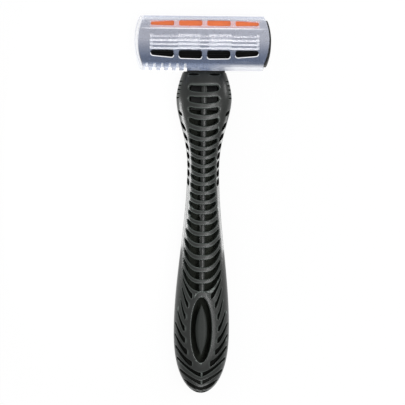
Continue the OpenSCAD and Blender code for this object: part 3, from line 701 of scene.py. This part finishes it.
# Keel: a short bar below the window, in line with the spine, that crosses two grooves of the butt.
# It is moulded with the front half, of the same ABS.
keel_x, keel_y0, keel_y1, keel_r, keel_sunk = 0.25, -13.9, -18.4, 0.38, 0.5
y = np.linspace(keel_y0, keel_y1, 24)
x = np.full_like(y, keel_x)
keel = bead("grip_keel", np.stack([x, y, front_z(x, y) - keel_sunk], axis=1), keel_r)
keel.data.materials.append(grip_plastic)
finish_piece(keel, "handle", "handle_plastic")

# Spine: one moulded ABS bar inside the handle, seen between the two halves of every slot row.
# Its top is rounded and lies a wall's thickness below the front. It stands on the back half and on the yoke.
spine_w, spine_y0, spine_y1, crown_h, spine_gap, yoke_end_y = 2.0, 11.8, 83, 0.55, 0.1, 71
a = np.linspace(0, math.pi, 13)
rows = []
for y in np.linspace(spine_y0, spine_y1, 120):
    top = seam_z + front_h(y, wall) - spine_gap
    base = seam_z - back_h(y) + wall + spine_gap if y < yoke_end_y else tongue_z + tongue_h / 2 + spine_gap
    crown = np.stack([spine_w / 2 * np.cos(a), np.full(13, y), top - crown_h + crown_h * np.sin(a)], axis=1)
    foot = np.array([[-spine_w / 2, y, base], [spine_w / 2, y, base], crown[0]])
    rows.append(np.concatenate([crown, foot]))
spine = grid("grip_spine", np.array(rows))
spine.data.materials.append(grip_plastic)
close_ends(spine)
finish_piece(spine, "handle", "core_plastic", "handle_core")

# Lens inlay: a smooth lens of lighter ABS that stands in the window, clear of its edge all round,
# so that a black ring is left about it. It is moulded on its own and fixed to the foot of the spine.
inlay_l, inlay_w, inlay_h, inlay_drop, inlay_round = 17.0, 3.85, 4.2, 0.35, 0.22
across = np.linspace(-1, 1, 17)
rows = []
for y in inlay_l / 2 * np.cos(np.linspace(0, math.pi, 50)):
    x = lens_half(y, inlay_l, inlay_w) * across
    y = np.full_like(x, y)
    rows.append(np.stack([x, y, front_z(x, y) - inlay_drop - inlay_round * across ** 6], axis=1))
inlay = grid("grip_lens", np.array(rows))
weld(inlay)
edit(inlay)
bpy.ops.mesh.select_all(action="SELECT")
bpy.ops.mesh.extrude_region_move(TRANSFORM_OT_translate={"value": (0, 0, -inlay_h)})
bpy.ops.mesh.select_all(action="SELECT")
bpy.ops.mesh.normals_make_consistent(inside=False)
bpy.ops.object.mode_set(mode="OBJECT")
inlay_plastic, tree, out = new_material("satin_lighter_grey_abs")
surface(tree, out, {
    "Base Color": blend(tree, noise(tree, 5, 3.0), linear("161a17"), linear("1e2320")),
    "Normal": dimples(tree, noise(tree, 0.3), 0.08, 0.02),
    "Roughness": 0.42, "IOR": 1.53, "Specular IOR Level": 0.25})
inlay.data.materials.append(inlay_plastic)
finish_piece(inlay, "handle", "inlay_plastic", "lens_inlay")

# Yoke: a moulded fork of black acetal that carries the cartridge on two pins.
# Its tongue plugs into the head end of the handle, and its bore takes the plunger and the coil.
soft_edge_angle, soft_gap, flat_angle = 30, 0.001, 0.5


def softened(node, name, width):
    """A copy of a CAD solid in millimetres, welded, with its edges rounded."""
    made = bpy.data.objects.new(name, frame["nodes"][node].data.copy())
    bpy.context.scene.collection.objects.link(made)
    made.data.materials.clear()
    made.data.transform(Matrix.Scale(1 / MM, 4))
    edit(made)
    bpy.ops.mesh.select_all(action="SELECT")
    bpy.ops.mesh.remove_doubles(threshold=soft_gap)
    bpy.ops.mesh.dissolve_limited(angle_limit=math.radians(flat_angle))
    bpy.ops.object.mode_set(mode="OBJECT")
    if width:
        modify(made, "BEVEL", width=width, segments=2, limit_method="ANGLE",
               angle_limit=math.radians(soft_edge_angle))
    return made


black_plastic, tree, out = new_material("black_acetal")
flow = noise(tree, 2)
surface(tree, out, {
    "Base Color": blend(tree, flow, linear("070708"), linear("0d0d0f")),
    "Roughness": spread(tree, flow, 0.5, 0.65), "IOR": 1.4})
yoke = softened("pivot_yoke", "yoke", width=0.15)
yoke.data.materials.append(black_plastic)
finish_piece(yoke, "handle", "black_plastic", "pivot_yoke")

# Return plunger: a smooth moulded acetal pin in the bore of the yoke.
# The coil behind it pushes it out against the cam of the cartridge.
plunger = softened("head_plunger", "return_plunger", width=0.2)
plunger.data.materials.append(black_plastic)
finish_piece(plunger, "plunger", "plunger_plastic", "head_plunger")

# Return coil: drawn spring wire, wound in six turns.
# It is held loosely between the blind end of the yoke's bore and the plunger.
wire, turns, coil_r = 0.4, 6, 1.3
coil_y0, coil_y1 = 74.72, 81.9


def steel(name, colour, mm, smooth, rough, squeeze=None):
    """Bare steel with fine marks, drawn out along x where they are squeezed."""
    made, tree, out = new_material(name)
    sheen = spread(tree, noise(tree, mm, squeeze=squeeze), smooth, rough)
    surface(tree, out, {"Base Color": linear(colour), "Metallic": 1.0, "Roughness": sheen})
    return made


b = np.linspace(0, 2 * math.pi, 13)
r = coil_r + wire / 2 * np.cos(b)
rows = []
for s in np.linspace(0, 1, turns * 24 + 1):
    a = 2 * math.pi * turns * s
    y = mix(coil_y0, coil_y1, s) + wire / 2 * np.sin(b)
    rows.append(np.stack([r * math.cos(a), y, tongue_z + r * math.sin(a)], axis=1))
coil = grid("return_coil", np.array(rows))
close_ends(coil)
coil.data.materials.append(steel("drawn_spring_steel", "b9bcc2", 0.3, 0.2, 0.32))
finish_piece(coil, "handle", "spring_steel", "plunger_spring")
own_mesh(coil)

# Cartridge body and its cover: black acetal, both moulded. The body turns on the pins of the yoke,
# and the cover is pegged on to it and holds the blades down at their ends.
for node, name, width in (("cartridge_base", "head_body", 0.08), ("cartridge_cover", "head_cover", 0.12)):
    made = softened(node, name, width)
    made.data.materials.append(black_plastic)
    finish_piece(made, "cartridge", "black_plastic", node)

# Four blades and their bent supports: hardened strip steel, ground at the edge, on rolled sheet with rinse slots.
# Each blade is welded to its support, and the supports stand in the cartridge body under its cover.
head_tilt, pivot = math.radians(16), (94.1, 9.0)
blade_n, edge_v, blade_pitch, blade_l, shave_w = 4, -3.04, 1.38, 36.2, 6.6
rinse_spans = ((-0.475, -0.245), (-0.04, 0.04), (0.245, 0.475))
rinse_from, rinse_to, rinse_below, rinse_above = 0.55, 1.2, 2.4, 2
blade_steel = steel("ground_blade_steel", "dcdcdc", 0.06, 0.22, 0.36, 0.05)
support_steel = steel("rolled_support_steel", "f0f0f0", 0.08, 0.62, 0.78, 0.08)
for i in range(blade_n):
    v = edge_v + i * blade_pitch
    top_z = pivot[1] - v * math.sin(head_tilt) + shave_w * math.cos(head_tilt)
    edge_y = pivot[0] + v * math.cos(head_tilt) + shave_w * math.sin(head_tilt)
    y0, y1 = edge_y + rinse_from, edge_y + rinse_to
    for node, name, slot, finish in (
        (f"blade_{i + 1}", f"steel_blade_{i + 1}", "blade_steel", blade_steel),
        (f"blade_support_{i + 1}", f"steel_support_{i + 1}", "support_steel", support_steel),
    ):
        made = softened(node, name, width=0)
        cutters = []
        for span in rinse_spans:
            x0, x1 = (share * blade_l for share in span)
            outline = np.array([(x0, y0), (x1, y0), (x1, y1), (x0, y1), (x0, y0)])
            cutters.append(prism(outline, top_z - rinse_below, top_z + rinse_above, False))
        cut(made, *cutters)
        made.data.materials.clear()
        made.data.materials.append(finish)
        finish_piece(made, "cartridge", slot, node, angle=10)

# Lubricating strip: extruded waxy polymer, orange and softly rounded along its edges.
# It is pressed into the cover of the cartridge behind the blades.
strip = softened("lubricating_strip", "wax_strip", width=0.12)
wax, tree, out = new_material("orange_wax_polymer")
streak = noise(tree, 0.5, 3.0, squeeze=0.15)
surface(tree, out, {
    "Base Color": blend(tree, streak, linear("e46a33"), linear("f0824d")),
    "Normal": dimples(tree, streak, 0.1, 0.03), "Roughness": 0.5, "IOR": 1.45})
strip.data.materials.append(wax)
finish_piece(strip, "cartridge", "strip_polymer", "lubricating_strip")

# Guard: soft black rubber with five fins that stretch the skin ahead of the blades.
# It is moulded on its own and set into a seat along the lower edge of the cartridge body.
guard = softened("guard_strip", "guard_fins", width=0.05)
rubber, tree, out = new_material("black_fin_rubber")
surface(tree, out, {
    "Base Color": blend(tree, noise(tree, 0.4, 3.0), linear("060606"), linear("0b0b0b")),
    "Roughness": 0.8, "Specular IOR Level": 0.2})
guard.data.materials.append(rubber)
finish_piece(guard, "cartridge", "guard_rubber", "guard_strip")

# Protective cap: thin milky polypropylene, moulded in one piece and slid on over the head from the left.
# Its face is clearer than its upper edge and than the ribbed wall next to the handle, and some of its tones are
# painted light and shade.
cap_end_r, cap_end_x, cap_lo, cap_hi = 21.2, -2.0, -9.2, 8.6
wall_mid_x, wall_clear_x, wall_milky_x = -7.0, 8, 18
clear_end_r0, clear_end_r1, clear_end_share = 20.0, 20.3, 0.3
pivot_up = pivot[0] * math.cos(head_tilt) - pivot[1] * math.sin(head_tilt)
cap = softened("protective_cap", "slide_cap", width=0.12)
frosted, tree, out = new_material("milky_polypropylene")
place = add_node(tree, "ShaderNodeTexCoord").outputs["Object"]
x = add_node(tree, "ShaderNodeSeparateXYZ", {"Vector": place}).outputs["X"]
up = add_node(tree, "ShaderNodeVectorMath", {
    0: place, 1: (0, math.cos(head_tilt), -math.sin(head_tilt))}, operation="DOT_PRODUCT").outputs["Value"]
aside = calc(tree, "ABSOLUTE", calc(tree, "ADD", x, -wall_mid_x * MM))
aside = spread(tree, aside, 0.0, 1.0, wall_clear_x * MM, wall_milky_x * MM)
wall_tone = blend(tree, aside, linear("8d99b4"), linear("dcdfe8"))
wall_veil = spread(tree, aside, 0.5, 0.4)
# From the lower face up to the upper edge, and down over the wall to its foot: where each tone starts and is full.
# These tones are partly painted: the bluer lower face is painted shade, and the whiter wall and its white foot are
# painted light for the lit paper seen through and mirrored in them. Their milkier veils are the thicker plastic
# seen edge-on.
tone, veil = linear("97a8cc"), 0.17
for v0, v1, colour, milk in (
    (-6.2, 0.0, linear("e4e8f8"), 0.29),
    (7.35, 7.6, linear("c6cde2"), 0.46),
    (-7.9, -8.6, wall_tone, wall_veil),
    (-9.22, -9.28, linear("ffffff"), 0.8),
):
    zone = spread(tree, up, 0.0, 1.0, (pivot_up + v0) * MM, (pivot_up + v1) * MM)
    tone = blend(tree, zone, tone, colour)
    veil = spread(tree, zone, veil, milk)
from_end = add_node(tree, "ShaderNodeCombineXYZ", {"X": calc(tree, "MINIMUM", x, 0.0), "Y": up}).outputs[0]
from_end = add_node(tree, "ShaderNodeVectorMath", {
    0: from_end, 1: (cap_end_x * MM, pivot_up * MM, 0)}, operation="DISTANCE").outputs["Value"]
clear = spread(tree, from_end, 1.0, clear_end_share, clear_end_r0 * MM, clear_end_r1 * MM)
frost = spread(tree, noise(tree, 1.5, 3.0), 0.85, 1.15)
milk = calc(tree, "MULTIPLY", calc(tree, "MULTIPLY", veil, clear), frost)
skin = add_node(tree, "ShaderNodeBsdfPrincipled", {
    "Base Color": tone, "Roughness": 0.5, "IOR": 1.3, "Alpha": milk})
edge_on = calc(tree, "MULTIPLY", add_node(tree, "ShaderNodeFresnel", {"IOR": 1.4}).outputs[0], 0.4)
gloss = add_node(tree, "ShaderNodeBsdfGlossy", {"Color": (1, 1, 1, 1), "Roughness": 0.16})
coated = add_node(tree, "ShaderNodeMixShader", {0: edge_on, 1: skin.outputs[0], 2: gloss.outputs[0]})
tree.links.new(coated.outputs[0], out.inputs[0])
cap.data.materials.append(frosted)
finish_piece(cap, "cap", "cap_frosted", "protective_cap")

# Lips, ribs and rims of the cap: fine rounded beads moulded along the lower edges of the guard windows and the
# upper crease, on the ribbed wall, and round the top and the closed end. They are of the cap's own polypropylene;
# the near-opaque white of the lips and the crease is painted highlight, and the pale tone of the ribs and the rims
# is partly the milky plastic and partly painted highlight.
lip_r, lip_sunk, crease_r, crease_sunk = 0.14, 0.06, 0.22, 0.2
rim_r, top_rim_sunk, end_rim_sunk, end_rim_up = 0.15, 0.2, 0.3, 0.3
rib_r, rib_sunk, rib_n, rib_x0, rib_pitch, rib_l = 0.45, 0.34, 6, -19.05, 2.55, 1.1
win_x = (0.825, 8.525, 10.175, 17.875)
guard_hi, guard_lo, crease_v, chamfer = -3.6, -6.8, 3.7, 1.4
crease_x0, crease_x1, top_x1 = -21.4, 20.6, 19.8
cap_v = [cap_lo, cap_lo + chamfer, guard_hi, crease_v, cap_hi - chamfer, cap_hi]
cap_w = [6.2, 7.6, 8.1, 8.1, 7.6, 6.2]


def corner(c, a, b, r=1.0):
    """A rounded corner of a window, from the side of a to the side of b."""
    c, a, b = (np.array(q, float) for q in (c, a, b))
    q0, q1 = (c + (e - c) * r / np.linalg.norm(e - c) for e in (a, b))
    t = np.linspace(0, 1, 6)[:, None]
    return q0 * (1 - t) ** 2 + c * 2 * t * (1 - t) + q1 * t ** 2


def on_cap(x, v, sunk):
    """Points on the face of the tilted cap, sunk into it."""
    w = np.interp(v, cap_v, cap_w) - sunk
    return np.stack([x, pivot[0] + v * math.cos(head_tilt) + w * math.sin(head_tilt),
                     pivot[1] - v * math.sin(head_tilt) + w * math.cos(head_tilt)], axis=1)


lips = []
for x0, x1, v0, v1 in (
    (win_x[0], win_x[1], guard_lo, guard_lo + 0.15),
    (win_x[2], win_x[3], guard_lo + 0.4, guard_lo + 1.1),
):
    path = np.concatenate([
        corner((x0, v0), (x0, guard_hi), (x1, v1)), corner((x1, v1), (x0, v0), (x1, guard_hi))])
    for side in (-1, 1):
        lips.append(bead("cap_lips", on_cap(side * path[:, 0], path[:, 1], lip_sunk), lip_r))
crease = on_cap(np.linspace(crease_x0, crease_x1, 20), np.full(20, crease_v), crease_sunk)
lips.append(bead("cap_lips", crease, crease_r))
v = np.linspace(cap_lo, cap_lo + rib_l, 12)
ribs = []
for i in range(rib_n):
    ribs.append(bead("cap_ribs", on_cap(np.full(12, rib_pitch * i + rib_x0), v, rib_sunk), rib_r))
v = np.linspace(cap_lo + end_rim_up, cap_hi - rim_r, 25)
rim_x = cap_end_x - np.sqrt((cap_end_r - rim_r) ** 2 - v ** 2)
top_rim = on_cap(np.linspace(rim_x[-1], top_x1, 30), np.full(30, cap_hi - rim_r), top_rim_sunk)
rims = [bead("cap_rim", on_cap(rim_x, v, end_rim_sunk), rim_r), bead("cap_rim", top_rim, rim_r)]
# The pale colours below are painted highlight; for the ribs and the rims they are partly the milky plastic too.
for parts, name, colour, clear, milky in (
    (lips, "lip_painted_highlight", "fcfcff", 0.8, 1.0),
    (ribs, "rib_milk_and_painted_highlight", "ffffff", 0.2, 0.4),
    (rims, "rim_milk_and_painted_highlight", "bcc4e0", 0.1, 0.2),
):
    pick(*parts)
    bpy.ops.object.join()
    finish, tree, out = new_material(name)
    haze = spread(tree, noise(tree, 1.5), clear, milky)
    surface(tree, out, {"Base Color": linear(colour), "Roughness": 0.3, "Alpha": haze})
    parts[0].data.materials.append(finish)
    finish_piece(parts[0], "cap", "cap_frosted")
